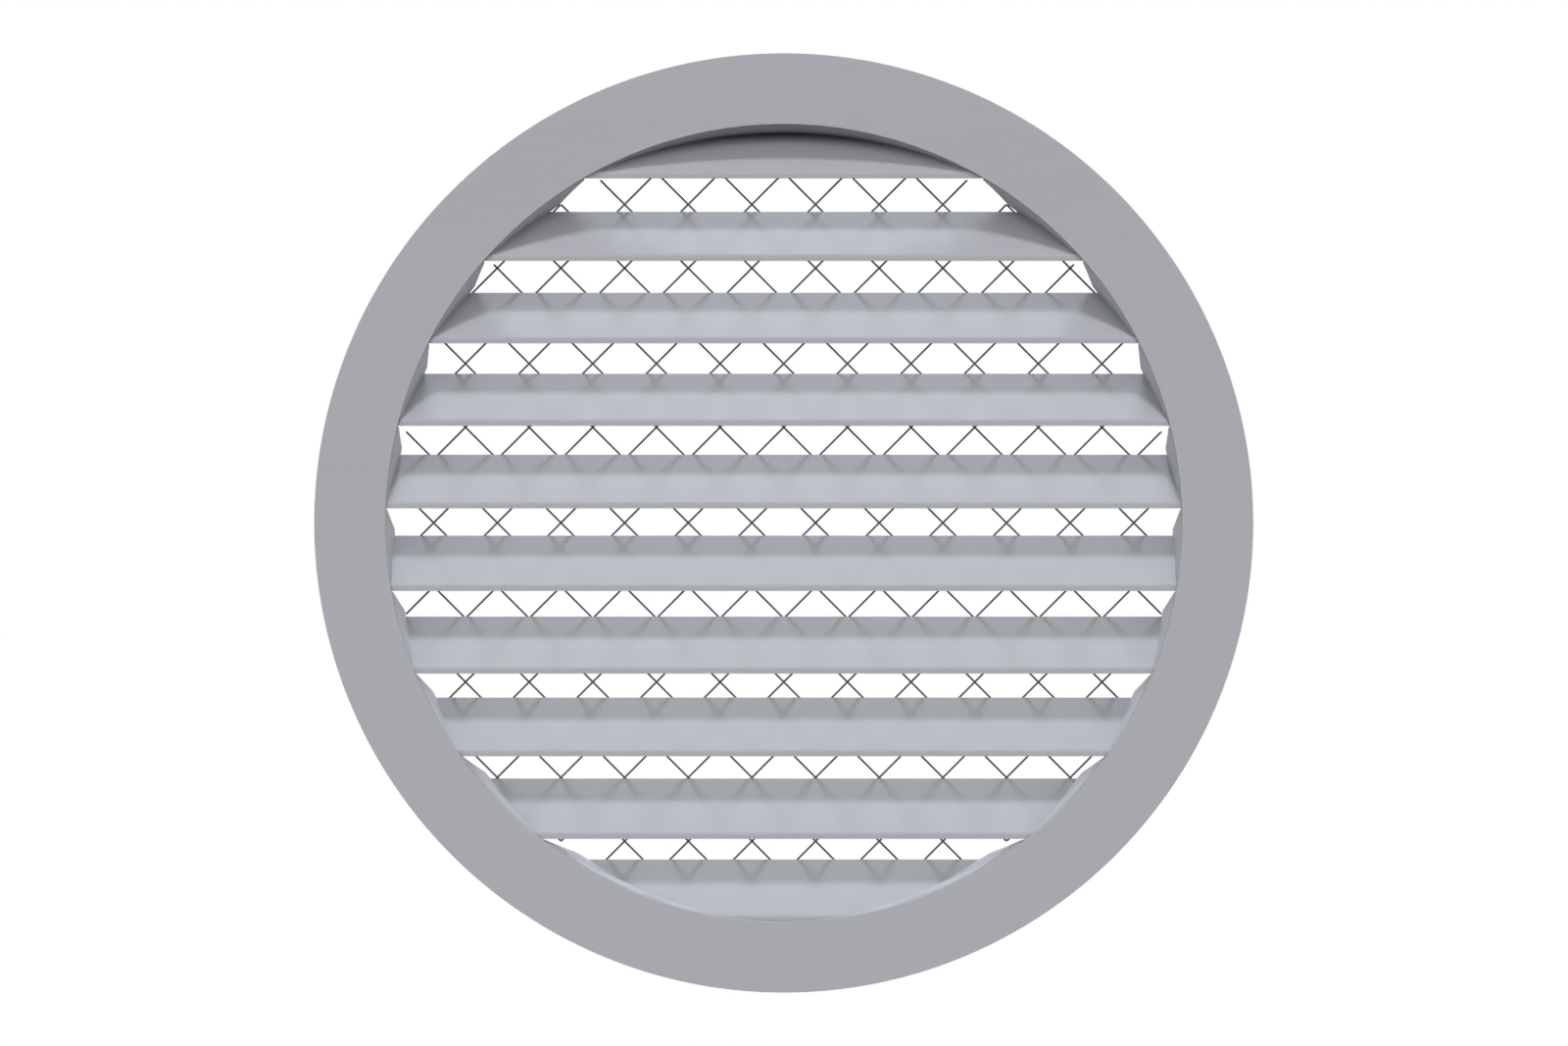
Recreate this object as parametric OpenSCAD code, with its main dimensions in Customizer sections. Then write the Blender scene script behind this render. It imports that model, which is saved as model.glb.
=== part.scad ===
// Round wall vent terminal: a flat face ring over a pressed louvre disc,
// a spigot collar that slides into the duct and a welded bird mesh behind the louvres.
// X runs to the right, Z up and Y into the duct. Y = 0 is the plane that seats on the wall.

/* [Face ring] */
// Diameter of the clear opening in the face ring
opening_d = 237.5; // [200:0.5:300]
// Width of the face ring, from the opening to the rim
ring_w = 21.25; // [16:0.25:40]
// Sheet thickness of the face ring
face_t = 1.0; // [0.8:0.1:2]
// Width of the broken edge round the ring's front corners
edge_break = 0.15; // [0.1:0.05:0.3]

/* [Louvre disc] */
// Sheet thickness of the pressed louvre disc
disc_t = 1.0; // [0.8:0.1:1.2]
// How far the drawn louvre ends stand inside the opening's edge
end_inset = 0.25; // [0.1:0.05:1]
// Width of the flat margin that lies behind the face ring
margin_w = 3.6; // [3:0.1:8]
// Number of louvres
louvre_count = 10; // [8:1:11]
// Height of one louvre, from its front land to its back edge
louvre_h = 16.45; // [14:0.05:18]
// How much taller the stack of louvres is than the opening
stack_over = 0.845; // [0.5:0.005:1.5]
// Height of the flat land along the louvre's front, to the sharp corner
land_h = 1.65; // [1.4:0.05:3]
// Slope of the louvre above the horizontal
louvre_angle = 45; // [40:1:50]
// Height of the middle of the louvre stack above the ring's centre
stack_shift = 0.2; // [-0.5:0.1:0.5]
// Height of the closed louvre end above the louvre's back edge
end_rise = 1.95; // [1:0.05:3]
// Inside bend radius of the pressed sheet
press_r = 0.3; // [0.2:0.05:0.6]

/* [Spigot collar] */
// Length of the spigot behind the wall plane
spigot_len = 20; // [18:0.5:60]
// Sheet thickness of the collar
collar_t = 0.8; // [0.6:0.1:1.2]
// How far the collar's lip stops short of the face ring's rim
lip_inset = 3; // [1:0.5:8]
// Inside bend radius between the lip and the spigot
lip_r = 0.5; // [0.3:0.1:1]
// Width of each tab that holds the mesh
tab_w = 8; // [5:0.5:10]
// How far each tab reaches in from the spigot's inner wall
tab_reach = 10.7; // [9:0.1:12]
// Width of the cut along each side of a tab
tab_kerf = 0.5; // [0.3:0.1:1]
// Angle of the side tabs above and below the horizontal
side_tab_angle = 34.2; // [30:0.1:38]
// Angle of the top and bottom tabs from the vertical
end_tab_angle = 4.8; // [0:0.1:8]

/* [Bird mesh] */
// How far the wires stop short of the outside of the louvre ends
mesh_inset = 1.1; // [0.5:0.1:4]
// Distance from one wire to the next
mesh_pitch = 13.72; // [12:0.01:16]
// Diameter of the mesh wire
wire_d = 0.6; // [0.5:0.05:1.2]
// How far the rear wires' centres stand behind the front ones', once pressed flush and welded
layer_step = 0.2; // [0.1:0.05:0.4]
// Lean of the wires from the horizontal
mesh_angle = 45; // [30:5:60]

/* [Clearances] */
// Clearance between the mesh and the louvres or tabs that trap it
mesh_gap = 0.05; // [0.02:0.01:0.2]
// Radial clearance between the louvre disc and the spigot's inner wall
disc_gap = 0.3; // [0.2:0.1:1]

/* [Hidden] */

// Facets drawn for a full circle
ROUND = 180;
// Facets drawn for a wire
WIRE_ROUND = 16;
// Steps in a right-angled bend
BEND_STEPS = 5;
// Steps in the shallower bend of a louvre
FOLD_STEPS = 3;
// Overlap that joins shapes of one piece
JOIN = 0.05;

ring_back = -collar_t;
ring_front = ring_back - face_t;
opening_r = opening_d / 2;
face_r = opening_r + ring_w;
end_r = opening_r - end_inset;
end_out_r = end_r + disc_t;
bend_out = press_r + disc_t;
margin_r = end_r + bend_out;
disc_r = margin_r + margin_w;
bore_r = disc_r + disc_gap;
spigot_r = bore_r + collar_t;
lip_out_r = face_r - lip_inset;
land_y = ring_back;
louvre_depth = (louvre_h - land_h) / tan(louvre_angle);
stack_h = opening_d + stack_over;
louvre_pitch = (stack_h - louvre_h) / (louvre_count - 1);
top_land = stack_shift + stack_h / 2 - louvre_h;
crest_y = land_y + louvre_depth;
wire_r = wire_d / 2;
front_wire_y = crest_y + mesh_gap + wire_r;
rear_wire_y = front_wire_y + layer_step;
mesh_r = end_out_r - mesh_inset;
tab_y = rear_wire_y + wire_r + mesh_gap;
tab_bend = lip_r + collar_t;
TAB_ANGLES = [
    side_tab_angle, 180 - side_tab_angle, 180 + side_tab_angle, 360 - side_tab_angle,
    90 - end_tab_angle, 270 - end_tab_angle
];

// Height of the bottom edge of a louvre's land, counted from 0 at the top
function land_z(i) = top_land - i * louvre_pitch;

// Points on an arc from one angle to another
function arc(centre, radius, start, end, steps = BEND_STEPS) = [
    for (k = [0:steps])
        let (a = start + (end - start) * k / steps)
        [centre[0] + radius * cos(a), centre[1] + radius * sin(a)]
];

// Turns a profile of radius and depth about the duct's axis
module turned() {
    rotate([-90, 0, 0])
        rotate_extrude($fn = ROUND)
            children();
}

// Runs a side-view profile of depth and height across the whole width
module across(width) {
    rotate([90, 0, 90])
        linear_extrude(height = width, center = true)
            children();
}

// Solid disc along the duct's axis, for trimming
module plug(radius, from_y, to_y) {
    translate([0, from_y, 0])
        rotate([-90, 0, 0])
            cylinder(r = radius, h = to_y - from_y, $fn = ROUND);
}

// Flat ring with broken front corners
module face_ring() {
    color([0.62, 0.63, 0.66])
        turned()
            polygon([
                [opening_r, ring_back],
                [opening_r, ring_front + edge_break],
                [opening_r + edge_break, ring_front],
                [face_r - edge_break, ring_front],
                [face_r, ring_front + edge_break],
                [face_r, ring_back]
            ]);
}

// Side view of one louvre: front land, bend and slope of one thickness, trimmed square at the back
module louvre_profile() {
    a = louvre_angle;
    // The bend's centre lies behind the sharp corner of the front surface
    set_back = bend_out * tan((90 - a) / 2);
    centre = [bend_out, land_h - set_back];
    crest = [louvre_depth, louvre_h];
    tail = crest - [0, disc_t / cos(a)];
    polygon(concat(
        [[0, 0]],
        arc(centre, bend_out, 180, 90 + a, FOLD_STEPS),
        [crest, tail],
        arc(centre, press_r, 90 + a, 180, FOLD_STEPS),
        [[disc_t, 0]]
    ));
}

// Side view of the closed end over one louvre, from the slit above down to its slope
module end_profile() {
    a = louvre_angle;
    inside = disc_t / 2;
    polygon([
        [-JOIN, louvre_pitch],
        [0, louvre_pitch],
        [louvre_depth, louvre_h + end_rise],
        [louvre_depth, louvre_h - inside / cos(a)],
        [inside, land_h / 2],
        [-JOIN, land_h / 2]
    ]);
}

// Drawn wall that closes the louvre ends, with its bend out to the flat margin
module end_wall() {
    centre = [end_r + bend_out, land_y + bend_out];
    turned()
        polygon(concat(
            [[margin_r + JOIN, land_y]],
            arc(centre, bend_out, 270, 180),
            [[end_r, crest_y + JOIN], [end_out_r, crest_y + JOIN]],
            arc(centre, press_r, 180, 270),
            [[margin_r + JOIN, land_y + disc_t]]
        ));
}

// Pressed disc: flat margin, louvres and their closed ends
module louvre_disc() {
    color([0.70, 0.71, 0.75]) {
        turned()
            translate([margin_r, land_y])
                square([disc_r - margin_r, disc_t]);
        intersection() {
            plug(margin_r + JOIN, land_y, crest_y + JOIN);
            for (i = [0:louvre_count - 1])
                translate([0, land_y, land_z(i)])
                    across(2 * disc_r)
                        louvre_profile();
        }
        intersection() {
            end_wall();
            for (i = [0:louvre_count - 1])
                translate([0, land_y, land_z(i)])
                    across(2 * disc_r)
                        end_profile();
        }
    }
}

// Lip and spigot turned from one profile
module collar_shell() {
    centre = [spigot_r + lip_r, lip_r];
    turned()
        polygon(concat(
            [[bore_r, spigot_len]],
            arc(centre, tab_bend, 180, 270),
            [[lip_out_r, ring_back], [lip_out_r, 0]],
            arc(centre, lip_r, 270, 180),
            [[spigot_r, spigot_len]]
        ));
}

// Side view of one tab: an ear of the spigot's rim, folded in flat against the mesh
module tab_profile() {
    centre = [bore_r - lip_r, tab_y - lip_r];
    polygon(concat(
        [[spigot_r, centre[1]]],
        arc(centre, tab_bend, 0, 90),
        [[bore_r - tab_reach, tab_y + collar_t], [bore_r - tab_reach, tab_y]],
        arc(centre, lip_r, 90, 0)
    ));
}

// Collar with its mesh tabs, each folded in from a notch in the spigot's rim
module spigot_collar() {
    notch_w = tab_w + 2 * tab_kerf;
    root_y = tab_y - lip_r;
    notch_len = tab_reach + tab_kerf;
    color([0.72, 0.73, 0.75]) {
        difference() {
            collar_shell();
            for (a = TAB_ANGLES)
                rotate([0, -a, 0])
                    translate([bore_r - collar_t, root_y, -notch_w / 2])
                        cube([3 * collar_t, notch_len, notch_w]);
        }
        for (a = TAB_ANGLES)
            rotate([0, -a, 0])
                linear_extrude(height = tab_w, center = true)
                    tab_profile();
    }
}

// One layer of parallel wires, each cut to the round panel
module wire_layer(lean, depth_y) {
    half_count = ceil(mesh_r / mesh_pitch);
    rotate([0, -lean, 0])
        for (k = [-half_count:half_count - 1]) {
            off = (k + 0.5) * mesh_pitch;
            if (abs(off) < mesh_r - wire_d) {
                half_len = sqrt(mesh_r * mesh_r - off * off);
                translate([-half_len, depth_y, off])
                    rotate([0, 90, 0])
                        cylinder(r = wire_r, h = 2 * half_len, $fn = WIRE_ROUND);
            }
        }
}

// Welded mesh: rising wires in front, falling wires behind
module bird_mesh() {
    color([0.35, 0.35, 0.36]) {
        wire_layer(mesh_angle, front_wire_y);
        wire_layer(-mesh_angle, rear_wire_y);
    }
}

face_ring();
louvre_disc();
spigot_collar();
bird_mesh();
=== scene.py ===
"""Looks of a round wall vent terminal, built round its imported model.

A flat ring of satin aluminium sits over a pressed disc with ten louvres. A collar that slides into the
duct carries both from behind, and a welded wire mesh keeps birds out. The model is fixed: the script
keeps the solids of the disc and the collar and gives each its finish, and it builds the ring and the
wires anew, with the rolled corners and the weld beads of real ones.
"""

import logging
import math
import random
from dataclasses import dataclass, replace
from enum import Enum
from typing import Iterable, Mapping

import bmesh
import bpy
from mathutils import Matrix, Vector


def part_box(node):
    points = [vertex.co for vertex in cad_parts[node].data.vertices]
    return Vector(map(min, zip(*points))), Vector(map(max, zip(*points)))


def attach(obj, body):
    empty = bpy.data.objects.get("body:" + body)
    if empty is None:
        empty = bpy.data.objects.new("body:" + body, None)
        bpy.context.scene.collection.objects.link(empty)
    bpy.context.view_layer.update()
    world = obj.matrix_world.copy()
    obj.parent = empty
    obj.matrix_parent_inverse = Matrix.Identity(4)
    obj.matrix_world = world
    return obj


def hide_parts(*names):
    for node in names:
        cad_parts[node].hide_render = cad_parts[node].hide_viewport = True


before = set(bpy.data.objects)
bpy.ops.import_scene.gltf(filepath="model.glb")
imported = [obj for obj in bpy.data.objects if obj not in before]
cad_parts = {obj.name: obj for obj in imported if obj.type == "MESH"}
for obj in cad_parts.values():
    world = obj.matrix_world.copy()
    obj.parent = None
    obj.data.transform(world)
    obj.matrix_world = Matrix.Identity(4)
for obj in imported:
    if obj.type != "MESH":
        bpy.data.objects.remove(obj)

log = logging.getLogger("vent_terminal")

Colour = tuple[float, float, float]
Span = tuple[float, float]
Socket = bpy.types.NodeSocket
# What an input takes: another node's output, or a value of its own
Feed = Socket | float | tuple[float, ...]
Feeds = dict[str | int, Feed]

WHITE = (1.0, 1.0, 1.0, 1.0)
# How much lighter than the mean colour dust and the painted shade in corners are, as shares: both are
# darker
DUST_SHADE = -0.22
PAINTED_CORNER_SHADE = -0.8
# Scale of a rolled sheet's grain along X, Y and Z, which draws it out from side to side
ROLLED_SCALE = (0.06, 1.0, 1.0)
# Weight at which the broadest face alone turns the normals that it shares
BROADEST_FACE = 100


class Slot(Enum):
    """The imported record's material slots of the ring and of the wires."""

    FACE = "face_aluminium"
    WIRE = "galvanised_wire"


class Lay(Enum):
    """The way in which a metal's grain runs over a piece."""

    ROLLED = "rolled"
    DRAWN = "drawn"
    SPANGLED = "spangled"


class Mixed(Enum):
    """What a Mix node mixes: its kind in Blender, and the numbers of its two inputs and its output."""

    NUMBERS = ("FLOAT", 2, 3, 0)
    COLOURS = ("RGBA", 6, 7, 2)


class Graph:
    """Adds and joins the nodes of one node tree."""

    def __init__(self, tree: bpy.types.NodeTree) -> None:
        """Starts from an empty tree.

        Args:
            tree: The node tree to fill.
        """
        self.tree = tree
        tree.nodes.clear()

    def add(self, kind: str, feeds: Feeds | None = None, **settings: object) -> bpy.types.Node:
        """Adds one node.

        Args:
            kind: The node's Blender type.
            feeds: What its inputs take, by name or by number.
            settings: Values for its own properties.

        Returns:
            The new node.
        """
        node = self.tree.nodes.new(kind)
        for key, value in settings.items():
            setattr(node, key, value)
        for key, feed in (feeds or {}).items():
            if isinstance(feed, Socket):
                self.tree.links.new(feed, node.inputs[key])
            else:
                node.inputs[key].default_value = feed
        return node

    def compute(self, operation: str, *feeds: Feed, clamp: bool = False) -> Socket:
        """Works out one operation on numbers.

        Args:
            operation: The operation's Blender name.
            feeds: The numbers that it takes, in order.
            clamp: Whether the result is kept between 0 and 1.

        Returns:
            The socket with the result.
        """
        node = self.add("ShaderNodeMath", dict(enumerate(feeds)), operation=operation, use_clamp=clamp)
        return node.outputs[0]

    def ramp(self, value: Socket, source: Span, target: Span = (0.0, 1.0), smooth: bool = False) -> Socket:
        """Maps one span of numbers onto another and stays level past its ends.

        Args:
            value: The number to map.
            source: Where the span starts and ends.
            target: What its start and its end turn into.
            smooth: Whether it leaves and reaches its ends gently.

        Returns:
            The socket with the mapped number.
        """
        ends = {"From Min": source[0], "From Max": source[1], "To Min": target[0], "To Max": target[1]}
        kind = "SMOOTHSTEP" if smooth else "LINEAR"
        return self.add("ShaderNodeMapRange", {"Value": value, **ends}, interpolation_type=kind).outputs[0]

    def mix(self, what: Mixed, share: Socket, first: Feed, second: Feed) -> Socket:
        """Mixes two numbers or two colours.

        Args:
            what: Which of these it mixes.
            share: How much of the second one there is, from 0 to 1.
            first: The first one.
            second: The second one.

        Returns:
            The socket with the mix.
        """
        kind, first_input, second_input, result = what.value
        feeds = {"Factor": share, first_input: first, second_input: second}
        return self.add("ShaderNodeMix", feeds, data_type=kind).outputs[result]

    def noise(self, place: Socket, scale: Feed, detail: float, roughness: float = 0.5) -> Socket:
        """Makes a noise between 0 and 1.

        Args:
            place: The coordinates that it is read from.
            scale: How many lumps it has in a metre.
            detail: How many finer layers are laid over it.
            roughness: How strong each finer layer is, as a share of the one before.

        Returns:
            The socket with the noise.
        """
        feeds = {"Vector": place, "Scale": scale, "Detail": detail, "Roughness": roughness}
        return self.add("ShaderNodeTexNoise", feeds).outputs["Fac"]


class ShaderGroup:
    """A node group with named inputs and outputs, made once and placed in many materials."""

    name = "group"
    inputs: tuple[tuple[str, str, float | Colour], ...] = ()
    outputs: tuple[tuple[str, str], ...] = ()

    def tree(self) -> bpy.types.NodeTree:
        """Makes the group's node tree, or finds it.

        Returns:
            The node tree, filled in.
        """
        found = bpy.data.node_groups.get(self.name)
        if found is not None:
            return found
        tree = bpy.data.node_groups.new(self.name, "ShaderNodeTree")
        for label, kind, value in self.inputs:
            socket = tree.interface.new_socket(name=label, in_out="INPUT", socket_type=kind)
            socket.default_value = value
        for label, kind in self.outputs:
            tree.interface.new_socket(name=label, in_out="OUTPUT", socket_type=kind)
        graph = Graph(tree)
        given = graph.add("NodeGroupInput").outputs
        graph.add("NodeGroupOutput", self.fill(graph, given))
        return tree

    def fill(self, graph: Graph, given: Mapping[str, Socket]) -> Feeds:
        """Makes the nodes inside the group.

        Args:
            graph: The group's graph.
            given: The group's inputs, by name.

        Returns:
            What the group gives out, by the name of the output.
        """
        raise NotImplementedError

    def place(self, graph: Graph, feeds: Feeds) -> Mapping[str, Socket]:
        """Puts the group in a material.

        Args:
            graph: The material's graph.
            feeds: What the group's inputs take in this material, by name.

        Returns:
            The group's outputs there, by name.
        """
        return graph.add("ShaderNodeGroup", feeds, node_tree=self.tree()).outputs


class MetalGrain(ShaderGroup):
    """Fine grain and slow clouds in the tone of sheet metal, with the height of its scratches."""

    name = "metal_grain"
    inputs = (
        ("Vector", "NodeSocketVector", (0.0, 0.0, 0.0)),
        ("Grain Scale", "NodeSocketFloat", 900.0),
        ("Cloud Scale", "NodeSocketFloat", 14.0),
        ("Cloud Share", "NodeSocketFloat", 0.5),
    )
    outputs = (("Tone", "NodeSocketFloat"), ("Height", "NodeSocketFloat"))

    def fill(self, graph: Graph, given: Mapping[str, Socket]) -> Feeds:
        """Mixes a fine noise with a slow one. See ShaderGroup.fill."""
        fine = graph.noise(given["Vector"], given["Grain Scale"], detail=3.0, roughness=0.6)
        slow = graph.noise(given["Vector"], given["Cloud Scale"], detail=2.0)
        mixed = graph.mix(Mixed.NUMBERS, given["Cloud Share"], fine, slow)
        return {"Tone": graph.ramp(mixed, (0.3, 0.7)), "Height": fine}


class EdgeWearAndHighlight(ShaderGroup):
    """A mask of the cut and bent edges, lightened partly by real wear from handling and partly as a
    painted highlight.
    """

    name = "edge_wear_and_highlight"
    inputs = (
        ("Width", "NodeSocketFloat", 0.0004),
        ("Breakup", "NodeSocketFloat", 0.55),
        ("Vector", "NodeSocketVector", (0.0, 0.0, 0.0)),
    )
    outputs = (("Mask", "NodeSocketFloat"),)

    def fill(self, graph: Graph, given: Mapping[str, Socket]) -> Feeds:
        """Compares a rounded normal with the surface's own. See ShaderGroup.fill."""
        rounded = graph.add("ShaderNodeBevel", {"Radius": given["Width"]}, samples=4).outputs["Normal"]
        own = graph.add("ShaderNodeNewGeometry").outputs["Normal"]
        same = graph.add("ShaderNodeVectorMath", {0: rounded, 1: own}, operation="DOT_PRODUCT")
        turned = graph.compute("SUBTRACT", 1.0, same.outputs["Value"], clamp=True)
        worn_and_highlit = graph.ramp(turned, (0.01, 0.22))
        patches = graph.noise(given["Vector"], 160.0, detail=2.0)
        spared = graph.compute("MULTIPLY", patches, given["Breakup"])
        return {"Mask": graph.compute("SUBTRACT", worn_and_highlit, spared, clamp=True)}


class SettledDust(ShaderGroup):
    """A thin patchy film where dust settles, on faces that look up."""

    name = "settled_dust"
    inputs = (("Vector", "NodeSocketVector", (0.0, 0.0, 0.0)), ("Amount", "NodeSocketFloat", 0.2))
    outputs = (("Mask", "NodeSocketFloat"),)

    def fill(self, graph: Graph, given: Mapping[str, Socket]) -> Feeds:
        """Takes the upward share of the normal and breaks it up. See ShaderGroup.fill."""
        normal = graph.add("ShaderNodeNewGeometry").outputs["True Normal"]
        split = graph.add("ShaderNodeSeparateXYZ", {0: normal})
        upward = graph.ramp(split.outputs["Z"], (0.1, 1.0))
        patches = graph.noise(given["Vector"], 45.0, detail=5.0, roughness=0.65)
        film = graph.compute("MULTIPLY", upward, graph.ramp(patches, (0.35, 0.75)))
        return {"Mask": graph.compute("MULTIPLY", film, given["Amount"])}


class PaintedCornerShade(ShaderGroup):
    """A mask of the tight corners, for painted shade that darkens the colour where the surface is shut in.
    """

    name = "painted_corner_shade"
    inputs = (("Reach", "NodeSocketFloat", 0.005), ("Amount", "NodeSocketFloat", 0.4))
    outputs = (("Mask", "NodeSocketFloat"),)

    def fill(self, graph: Graph, given: Mapping[str, Socket]) -> Feeds:
        """Finds the corners for the painted shade by how closely the surface is shut in. See
        ShaderGroup.fill.
        """
        room = graph.add("ShaderNodeAmbientOcclusion", {"Distance": given["Reach"]}, samples=6)
        shut = graph.ramp(room.outputs["AO"], (0.2, 0.65), (1.0, 0.0), smooth=True)
        return {"Mask": graph.compute("MULTIPLY", shut, given["Amount"])}


@dataclass(frozen=True)
class MetalFinish:
    """The finish of one piece of metal and the numbers that set it apart.

    Attributes:
        name: The material's name.
        colour: The metal's mean colour.
        contrast: How far the grain moves the colour to each side, as a share.
        metallic: How metallic the surface is.
        specular: How strongly it shines where it isn't metallic.
        roughness: Its lowest and highest roughness.
        lay: The way in which its grain runs.
        grain_scale: Grains in a metre.
        bump: Depth of the grain, in metres.
        wear_and_highlight: How much lighter than the mean colour the edges are, as a share: part real
            wear, part painted highlight.
        dust: How much dust lies on its upward faces.
        painted_shade: How much painted shade darkens its tight corners.
    """

    name: str
    colour: Colour
    contrast: float = 0.03
    metallic: float = 0.5
    specular: float = 0.5
    roughness: Span = (0.45, 0.6)
    lay: Lay = Lay.ROLLED
    grain_scale: float = 900.0
    bump: float = 0.00001
    wear_and_highlight: float = 0.2
    dust: float = 0.1
    painted_shade: float = 0.0

    def shade(self, share: float) -> tuple[float, float, float, float]:
        """The mean colour made lighter by a share, or darker by one below 0."""
        red, green, blue = (min(1.0, part * (1.0 + share)) for part in self.colour)
        return red, green, blue, 1.0

    def grain_vector(self, graph: Graph, place: Socket) -> Socket:
        """Makes the coordinates that the grain is read from.

        Args:
            graph: The material's graph.
            place: The piece's own coordinates.

        Returns:
            The socket with the grain's coordinates.
        """
        if self.lay is Lay.DRAWN:
            split = graph.add("ShaderNodeSeparateXYZ", {0: place}).outputs
            flat = graph.add("ShaderNodeCombineXYZ", {"X": split["X"], "Y": split["Z"]})
            reach = graph.add("ShaderNodeVectorMath", {0: flat.outputs[0]}, operation="LENGTH")
            hoop = graph.add("ShaderNodeCombineXYZ", {"X": reach.outputs["Value"], "Y": split["Y"]})
            return hoop.outputs[0]
        scale = ROLLED_SCALE if self.lay is Lay.ROLLED else (1.0, 1.0, 1.0)
        return graph.add("ShaderNodeMapping", {"Vector": place, "Scale": scale}).outputs["Vector"]

    def build(self) -> bpy.types.Material:
        """Makes the material.

        Returns:
            The finished material.
        """
        material = bpy.data.materials.new(self.name)
        material.use_nodes = True
        graph = Graph(material.node_tree)
        place = graph.add("ShaderNodeTexCoord").outputs["Object"]
        grain = MetalGrain().place(
            graph, {"Vector": self.grain_vector(graph, place), "Grain Scale": self.grain_scale}
        )
        dust = SettledDust().place(graph, {"Vector": place, "Amount": self.dust})
        # Painted shade: darkens the colour in tight corners, where the surface is shut in
        painted_shade = PaintedCornerShade().place(graph, {"Amount": self.painted_shade})
        # Lighter edges: partly real wear, partly a painted highlight on edges that stay sharp
        worn_and_highlit = EdgeWearAndHighlight().place(graph, {"Vector": place})

        colour = graph.mix(
            Mixed.COLOURS, grain["Tone"], self.shade(-self.contrast), self.shade(self.contrast)
        )
        # Dust darkens upward faces, painted shade darkens corners, and edges get lighter from wear and a
        # painted highlight
        for layer, share in ((dust, DUST_SHADE), (painted_shade, PAINTED_CORNER_SHADE), (worn_and_highlit, self.wear_and_highlight)):
            colour = graph.mix(Mixed.COLOURS, layer["Mask"], colour, self.shade(share))

        relief = graph.add(
            "ShaderNodeBump", {"Strength": 0.5, "Distance": self.bump, "Height": grain["Height"]}
        )
        surface = graph.add(
            "ShaderNodeBsdfPrincipled",
            {
                "Base Color": colour,
                "Metallic": self.metallic,
                "Roughness": graph.ramp(grain["Tone"], (0.0, 1.0), self.roughness),
                "Specular IOR Level": self.specular,
                "Normal": relief.outputs["Normal"],
            },
        )
        graph.add("ShaderNodeOutputMaterial", {"Surface": surface.outputs["BSDF"]})
        return material


def finish_piece(
    name: str, mesh: bmesh.types.BMesh, finish: bpy.types.Material, nodes: Iterable[str]
) -> bpy.types.Object:
    """Turns a finished bmesh into a piece of the terminal.

    Args:
        name: The piece's name.
        mesh: Its shape, in metres in the model's own frame. It is freed.
        finish: Its material.
        nodes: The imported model's nodes that the piece stands for.

    Returns:
        The piece, in the scene and riding on the model.
    """
    data = bpy.data.meshes.new(name)
    mesh.to_mesh(data)
    mesh.free()
    data.materials.append(finish)
    piece = bpy.data.objects.new(name, data)
    bpy.context.scene.collection.objects.link(piece)
    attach(piece, "root")
    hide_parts(*nodes)
    return piece


def round_corner(centre: Span, reach: Span, start: float, steps: int) -> list[Span]:
    """Puts points along a quarter of an ellipse, for a profile's rounded corner.

    Args:
        centre: The ellipse's centre, as a place along the axis and a distance from it.
        reach: How far it reaches from there, along the axis and away from it.
        start: Where the quarter starts, in degrees from the axis.
        steps: Straight steps in the quarter.

    Returns:
        The points, in order.
    """
    turns = [math.radians(start + 90 * step / steps) for step in range(steps + 1)]
    return [
        (centre[0] + reach[0] * math.cos(turn), centre[1] + reach[1] * math.sin(turn))
        for turn in turns
    ]


def turn_profile(
    mesh: bmesh.types.BMesh, profile: list[Span], sides: int, closed: bool, place: Matrix
) -> None:
    """Turns a profile round the Y axis into a skin that faces outwards.

    Args:
        mesh: The mesh that takes the skin.
        profile: Places along the axis and distances from it. Its outer side runs against the axis.
        sides: Flat sides round the axis.
        closed: Whether the profile ends where it starts. Otherwise each end gets a flat cap.
        place: Carries the skin from the axis to where it belongs.
    """
    turns = [math.tau * side / sides for side in range(sides)]
    hoops = [
        [
            mesh.verts.new(place @ Vector((out * math.cos(turn), along, out * math.sin(turn))))
            for turn in turns
        ]
        for along, out in profile
    ]
    for near, far in zip(hoops, hoops[1:] + hoops[:1] if closed else hoops[1:]):
        for side in range(sides):
            mesh.faces.new((near[side - 1], near[side], far[side], far[side - 1]))
    if not closed:
        mesh.faces.new(hoops[0][::-1])
        mesh.faces.new(hoops[-1])


@dataclass
class FaceRing:
    """The flat ring in front, blanked from sheet, so its front corners are rolled over.

    Attributes:
        opening_radius: Radius of the round opening.
        edge_radius: Radius of the rolled corners.
        sides: Flat sides round the ring.
    """

    opening_radius: float = 0.11875
    edge_radius: float = 0.00025
    sides: int = 360

    def build(self, finish: bpy.types.Material) -> bpy.types.Object:
        """Turns the ring's section, with its front corners rounded.

        Args:
            finish: The ring's material.

        Returns:
            The ring.
        """
        low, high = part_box("face_ring")
        inner, outer, edge = self.opening_radius, high.x, self.edge_radius
        section = [
            (high.y, outer),
            *round_corner((low.y + edge, outer - edge), (edge, edge), start=90, steps=3),
            *round_corner((low.y + edge, inner + edge), (edge, edge), start=180, steps=3),
            (high.y, inner),
        ]
        mesh = bmesh.new()
        turn_profile(mesh, section, self.sides, closed=True, place=Matrix())
        for face in mesh.faces:
            face.smooth = True
        piece = finish_piece("face_ring_rounded", mesh, finish, ["face_ring"])
        shade_flat_faces(piece)
        return piece


def shade_flat_faces(piece: bpy.types.Object) -> None:
    """Keeps broad flat faces flat beside their rounded edges, by weighting normals with area."""
    weighted = piece.modifiers.new("even_shading", "WEIGHTED_NORMAL")
    weighted.keep_sharp = True
    weighted.weight = BROADEST_FACE


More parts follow.
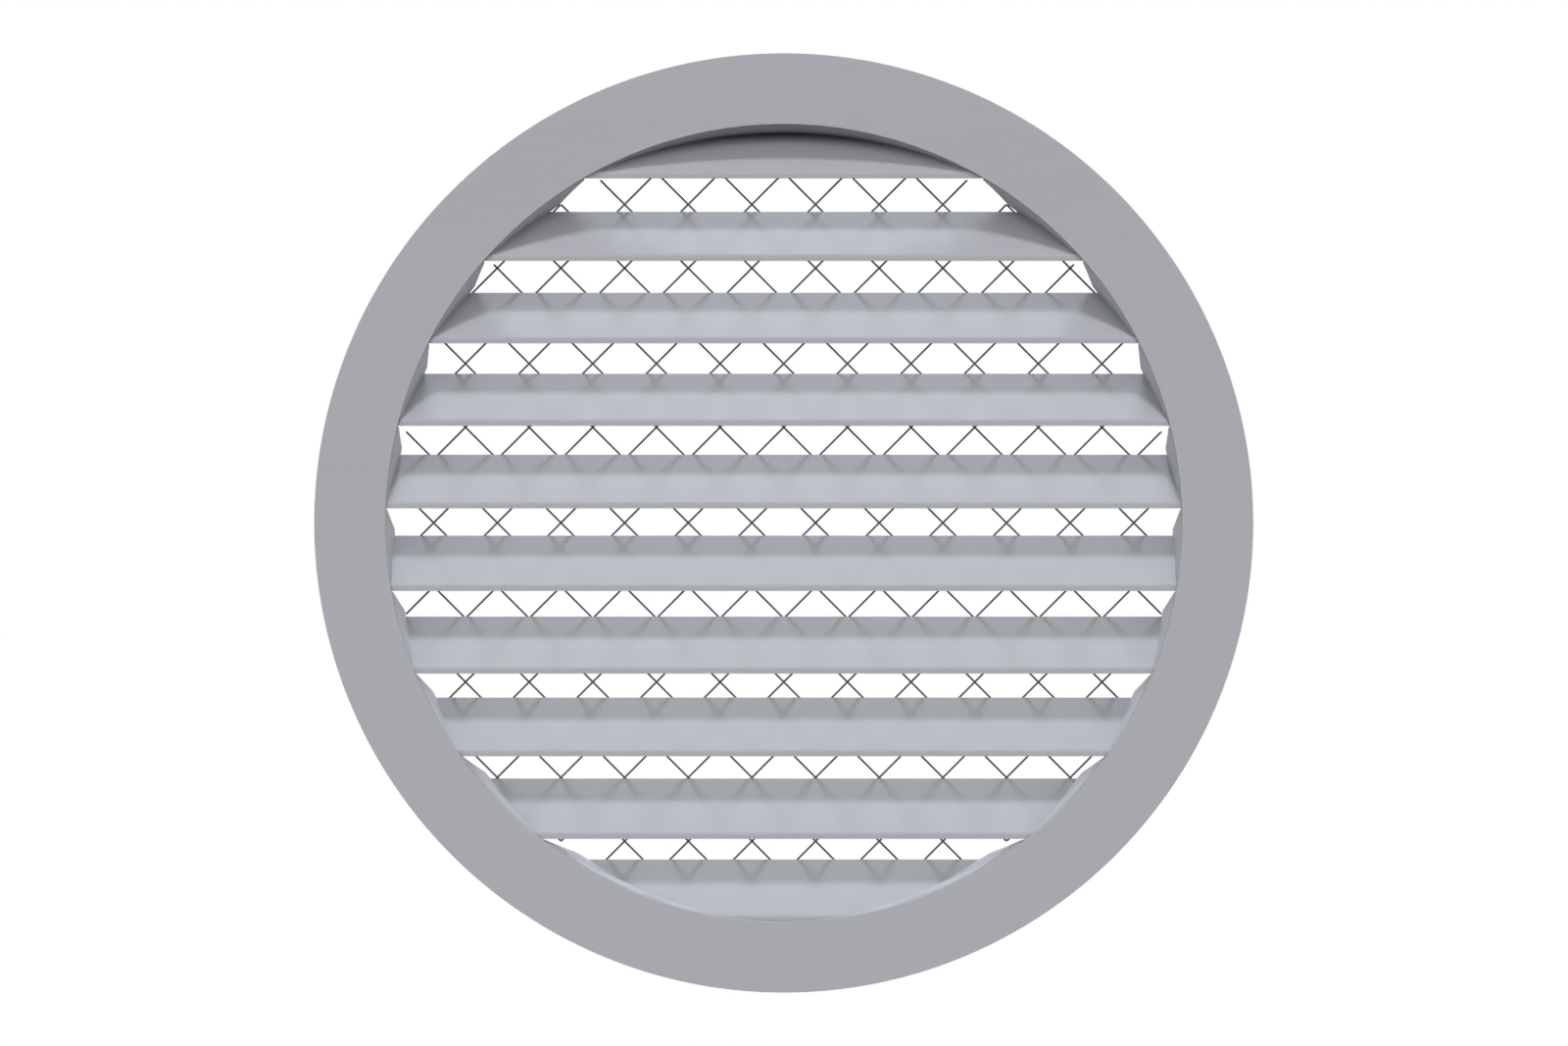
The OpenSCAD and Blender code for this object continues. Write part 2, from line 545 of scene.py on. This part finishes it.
@dataclass
class BirdMesh:
    """Two layers of straight wires, welded where they cross.

    Attributes:
        panel_radius: Radius of the round panel.
        pitch: Distance from one wire to the next.
        lean: Angle of the wires from the horizontal.
        sides: Flat sides round a wire.
        wire_radius: Radius of a wire.
        end_radius: Radius of a wire's eased ends, as a share of the wire's.
        bead: Radius of a weld bead, as a share of the wire's.
        bead_spread: Smallest and largest bead, as shares of that radius.
        bead_shape: How wide, deep and high a bead is before it is turned, as shares of its radius.
        seed: Seed of the small differences from weld to weld.
    """

    panel_radius: float = 0.1184
    pitch: float = 0.01372
    lean: float = math.radians(45)
    sides: int = 12
    wire_radius: float = 0.0003
    end_radius: float = 0.3
    bead: float = 1.04
    bead_spread: Span = (0.85, 1.1)
    bead_shape: tuple[float, float, float] = (1.0, 0.8, 0.9)
    seed: int = 7

    def holds(self, distance: float) -> bool:
        """Whether this far from its centre the panel has room for a wire or a weld."""
        return distance < self.panel_radius - 2 * self.wire_radius

    def offsets(self) -> list[float]:
        """Distances of one layer's wires from the panel's centre."""
        count = math.ceil(self.panel_radius / self.pitch)
        steps = [(k + 0.5) * self.pitch for k in range(-count, count)]
        return [step for step in steps if self.holds(abs(step))]

    def add_wire(self, mesh: bmesh.types.BMesh, offset: float, lean: float, depth: float) -> None:
        """Adds one straight wire, cut off at the panel's edge, with eased ends.

        Args:
            mesh: The mesh that takes the wire.
            offset: Its distance from the panel's centre.
            lean: Its angle from the horizontal.
            depth: Where its centre lies along the duct.
        """
        half = math.sqrt(self.panel_radius**2 - offset**2)
        ease = self.wire_radius * self.end_radius
        # As wide on each flat side as along the wire, the easing goes a little deeper where they meet
        depth_eased = ease / math.cos(math.pi / self.sides)
        core = self.wire_radius - depth_eased
        outline = [
            *round_corner((half - ease, core), (ease, depth_eased), start=0, steps=2),
            *round_corner((ease - half, core), (ease, depth_eased), start=90, steps=2),
        ]
        place = (
            Matrix.Rotation(-lean, 4, "Y")
            @ Matrix.Translation((0.0, depth, offset))
            @ Matrix.Rotation(-math.pi / 2, 4, "Z")
        )
        turn_profile(mesh, outline, self.sides, closed=False, place=place)

    def add_beads(self, mesh: bmesh.types.BMesh, offsets: list[float], depth: float) -> None:
        """Adds the flattened bead of each weld.

        Args:
            mesh: The mesh that takes the beads.
            offsets: Distances of one layer's wires from the panel's centre.
            depth: Where the welds lie along the duct.
        """
        dice = random.Random(self.seed)
        for rise in offsets:
            for fall in offsets:
                size = self.wire_radius * self.bead * dice.uniform(*self.bead_spread)
                turn = dice.uniform(0.0, math.pi)
                if not self.holds(math.hypot(rise, fall)):
                    continue
                centre = Matrix.Rotation(-self.lean, 4, "Y") @ Vector((fall, depth, rise))
                bmesh.ops.create_uvsphere(
                    mesh, u_segments=8, v_segments=5, radius=size,
                    matrix=Matrix.Translation(centre)
                    @ Matrix.Rotation(turn, 4, "Y")
                    @ Matrix.Diagonal((*self.bead_shape, 1.0)),
                )

    def build(self, finish: bpy.types.Material) -> bpy.types.Object:
        """Lays both layers of wire and their welds.

        Args:
            finish: The wire's material.

        Returns:
            The mesh panel.
        """
        low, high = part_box("bird_mesh")
        front, rear = low.y + self.wire_radius, high.y - self.wire_radius
        mesh = bmesh.new()
        offsets = self.offsets()
        for offset in offsets:
            self.add_wire(mesh, offset, self.lean, front)
            self.add_wire(mesh, offset, -self.lean, rear)
        self.add_beads(mesh, offsets, (front + rear) / 2)
        for face in mesh.faces:
            # Only the caps on the wires' ends have more than four corners, and they stay flat
            face.smooth = len(face.verts) <= 4
        return finish_piece("bird_mesh_welded", mesh, finish, ["bird_mesh"])


@dataclass
class PressedSheet:
    """A piece whose solid already has its true shape in the model: the louvre disc or the collar.

    Attributes:
        node: The model's node.
        finish: The finish that it takes.
    """

    node: str
    finish: MetalFinish

    def dress(self) -> bpy.types.Object:
        """Gives the node its finish.

        Returns:
            The node's object.
        """
        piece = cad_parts[self.node]
        material = self.finish.build()
        for holder in piece.material_slots:
            holder.material = material
        return piece


@dataclass(frozen=True)
class SoftLight:
    """One round soft light.

    Attributes:
        name: The light's name.
        height: How high it hangs over the horizon, in degrees.
        behind: Whether it hangs behind the terminal.
        level: How brightly it lights what faces it, whatever its distance.
        spread: How wide it looks from the terminal, in degrees.
        colour: The light's colour.
    """

    name: str
    height: float
    behind: bool
    level: float
    spread: float
    colour: Colour = (1.0, 1.0, 1.0)

    def hang(self, distance: float) -> None:
        """Hangs the light so that it looks at the terminal.

        Args:
            distance: How far from the terminal it hangs.
        """
        lift = math.radians(self.height)
        side = 1.0 if self.behind else -1.0
        direction = Vector((0.0, side * math.cos(lift), math.sin(lift)))
        lamp = bpy.data.lights.new(self.name, "AREA")
        lamp.shape = "DISK"
        lamp.size = 2 * distance * math.tan(math.radians(self.spread) / 2)
        lamp.color = self.colour
        # The power goes with the square of the distance, so that the level holds at any distance
        lamp.energy = self.level * math.pi**2 * distance**2
        holder = bpy.data.objects.new(self.name, lamp)
        holder.location = direction * distance
        holder.rotation_mode = "QUATERNION"
        holder.rotation_quaternion = direction.to_track_quat("Z", "Y")
        bpy.context.scene.collection.objects.link(holder)


@dataclass
class Studio:
    """The pale floor, the soft light and the white surround.

    The surround's light depends on the direction that it comes from: on the sine of its height over
    the horizon, and on how far it comes from behind, from -1 in front of the terminal to 1 behind it.

    Attributes:
        floor_height: Height of the floor.
        floor_size: Length of the floor's side.
        floor_fade: Where the floor starts to fade and is white, as shares of its side from its middle.
        floor_shown: How pale the floor looks.
        floor_bounce: How much of the light that falls on it reaches the terminal.
        dome: Strength of the even light from all round.
        horizon: Strength of the low band of light in front.
        backlight: Strength of the light from behind, low and high over the horizon.
        skyline: Heights at which the light over the horizon starts and is full.
        band_top: Heights at which the band in front starts to fade and is gone.
        back_top: Heights at which the light from behind leaves its low strength and has its high one.
        turn: Where the light in front starts to give way to the light from behind, and where it has.
        distance: Distance of the lights from the terminal.
        lights: The soft lights.
    """

    floor_height: float = -0.30
    floor_size: float = 1.2
    floor_fade: Span = (0.2, 0.48)
    floor_shown: float = 0.86
    floor_bounce: float = 0.2
    dome: float = 0.02
    horizon: float = 3.25
    backlight: Span = (1.65, 0.75)
    skyline: Span = (0.0, 0.05)
    band_top: Span = (0.28, 0.4)
    back_top: Span = (0.4, 0.7)
    turn: Span = (-0.1, 0.1)
    distance: float = 6.5
    lights: tuple[SoftLight, ...] = (
        SoftLight("key_light", 59.0, False, 0.4, 11.0, (1.04, 1.0, 1.13)),
        SoftLight("rear_light", 60.5, True, 0.63, 9.5, (0.97, 1.0, 1.14)),
    )

    def surround_strength(self, graph: Graph) -> Socket:
        """Spreads the surround's light: a low band in front, more light behind, little from below.

        Args:
            graph: The world's graph.

        Returns:
            The socket with the strength for each direction.
        """
        direction = graph.add("ShaderNodeTexCoord").outputs["Generated"]
        split = graph.add("ShaderNodeSeparateXYZ", {0: direction}).outputs
        front = graph.ramp(split["Z"], self.band_top, (self.horizon, 0.0), smooth=True)
        rear = graph.ramp(split["Z"], self.back_top, self.backlight, smooth=True)
        behind = graph.ramp(split["Y"], self.turn, smooth=True)
        over = graph.ramp(split["Z"], self.skyline, smooth=True)
        strength = graph.mix(Mixed.NUMBERS, behind, front, rear)
        return graph.compute("MULTIPLY_ADD", strength, over, self.dome)

    def light(self) -> None:
        """Sets the white surround and hangs the lights."""
        world = bpy.data.worlds.new("surround")
        world.use_nodes = True
        graph = Graph(world.node_tree)
        strength = self.surround_strength(graph)
        glow = graph.add("ShaderNodeBackground", {"Color": WHITE, "Strength": strength})
        white = graph.add("ShaderNodeBackground", {"Color": WHITE, "Strength": 1.0})
        path = graph.add("ShaderNodeLightPath").outputs
        seen = graph.compute("ADD", path["Is Camera Ray"], path["Is Glossy Ray"])
        shown = graph.compute("ADD", seen, path["Is Transmission Ray"], clamp=True)
        both = graph.add("ShaderNodeMixShader", {0: shown, 1: glow.outputs[0], 2: white.outputs[0]})
        graph.add("ShaderNodeOutputWorld", {"Surface": both.outputs[0]})
        bpy.context.scene.world = world

        for lamp in self.lights:
            lamp.hang(self.distance)

    def floor_material(self) -> bpy.types.Material:
        """Makes the floor's finish: matt, white at its edge for the camera, and clear from below.

        Returns:
            The floor's material.
        """
        material = bpy.data.materials.new("pale_floor")
        material.use_nodes = True
        graph = Graph(material.node_tree)
        place = graph.add("ShaderNodeTexCoord").outputs["Object"]
        flat = graph.add("ShaderNodeMapping", {"Vector": place, "Scale": (1.0, 1.0, 0.0)})
        reach = graph.add("ShaderNodeVectorMath", {0: flat.outputs[0]}, operation="LENGTH")
        start, end = (self.floor_size * share for share in self.floor_fade)
        fade = graph.ramp(reach.outputs["Value"], (start, end), smooth=True)
        camera_ray = graph.add("ShaderNodeLightPath").outputs["Is Camera Ray"]
        seen = graph.compute("MULTIPLY", camera_ray, fade)
        shade = graph.ramp(camera_ray, (0.0, 1.0), (self.floor_bounce, self.floor_shown))
        matt = graph.add("ShaderNodeBsdfDiffuse", {"Color": shade})
        white = graph.add("ShaderNodeEmission", {"Color": WHITE, "Strength": 1.0})
        faded = graph.add("ShaderNodeMixShader", {0: seen, 1: matt.outputs[0], 2: white.outputs[0]})
        below = graph.add("ShaderNodeNewGeometry").outputs["Backfacing"]
        clear = graph.add("ShaderNodeBsdfTransparent")
        sided = graph.add("ShaderNodeMixShader", {0: below, 1: faded.outputs[0], 2: clear.outputs[0]})
        graph.add("ShaderNodeOutputMaterial", {"Surface": sided.outputs[0]})
        return material

    def lay_floor(self) -> None:
        """Lays a pale floor that fades to white at its edge."""
        mesh = bmesh.new()
        bmesh.ops.create_grid(
            mesh, x_segments=1, y_segments=1, size=self.floor_size / 2,
            matrix=Matrix.Translation((0.0, 0.0, self.floor_height)),
        )
        data = bpy.data.meshes.new("floor")
        mesh.to_mesh(data)
        mesh.free()
        data.materials.append(self.floor_material())
        floor = bpy.data.objects.new("floor", data)
        bpy.context.scene.collection.objects.link(floor)


@dataclass(frozen=True)
class Viewpoint:
    """Where the camera stands and how much it takes in.

    Attributes:
        stand_off: Distance from the face ring's front.
        across: How far right of the duct's axis it stands.
        up: How far above the duct's axis it stands.
        lens: Focal length, in millimetres.
        sensor: Width of the sensor, in millimetres.
        nearest: Distance of the nearest thing that it shows.
    """

    stand_off: float = 0.7127
    across: float = 0.00008
    up: float = -0.00005
    lens: float = 54.9
    sensor: float = 36.0
    nearest: float = 0.01

    def build(self) -> None:
        """Sets up the camera, straight in front of the terminal."""
        data = bpy.data.cameras.new("camera")
        data.lens = self.lens
        data.sensor_width = self.sensor
        data.clip_start = self.nearest
        camera = bpy.data.objects.new("camera", data)
        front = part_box("face_ring")[0].y
        camera.location = (self.across, front - self.stand_off, self.up)
        camera.rotation_euler = (math.radians(90), 0.0, 0.0)
        bpy.context.scene.collection.objects.link(camera)
        bpy.context.scene.camera = camera


FACE_FINISH = MetalFinish(
    name="satin_face", colour=(0.397, 0.409, 0.424), contrast=0.02, metallic=0.0, specular=0.2,
    roughness=(0.58, 0.7), grain_scale=700.0,
)
# The louvres and the collar get painted shade in their tight corners
LOUVRE_FINISH = replace(FACE_FINISH, name="satin_louvres", dust=0.03, painted_shade=0.36)
COLLAR_FINISH = MetalFinish(
    name="drawn_collar", colour=(0.4, 0.41, 0.425), contrast=0.05, metallic=0.25, specular=0.3,
    roughness=(0.5, 0.65), lay=Lay.DRAWN, grain_scale=1400.0, painted_shade=0.3,
)
# The wires' ends and welds are made much lighter: part wear, part painted highlight
WIRE_FINISH = MetalFinish(
    name="zinc_wire", colour=(0.12, 0.12, 0.125), contrast=0.25, metallic=0.5,
    roughness=(0.4, 0.65), lay=Lay.SPANGLED, grain_scale=500.0, wear_and_highlight=0.6, dust=0.0,
)


def main() -> None:
    """Builds and dresses the terminal, its studio and its camera."""
    logging.basicConfig(level=logging.INFO, format="%(name)s: %(message)s")
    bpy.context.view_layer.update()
    view = bpy.context.scene.view_settings
    view.view_transform = "Standard"

    Viewpoint().build()
    studio = Studio()
    studio.light()
    studio.lay_floor()

    pieces = (
        FaceRing().build(FACE_FINISH.build()),
        PressedSheet("louvre_disc", LOUVRE_FINISH).dress(),
        PressedSheet("spigot_collar", COLLAR_FINISH).dress(),
        BirdMesh().build(WIRE_FINISH.build()),
    )
    for piece in pieces:
        log.info("%s: %d faces, %s", piece.name, len(piece.data.polygons), piece.active_material.name)


if __name__ == "__main__":
    main()
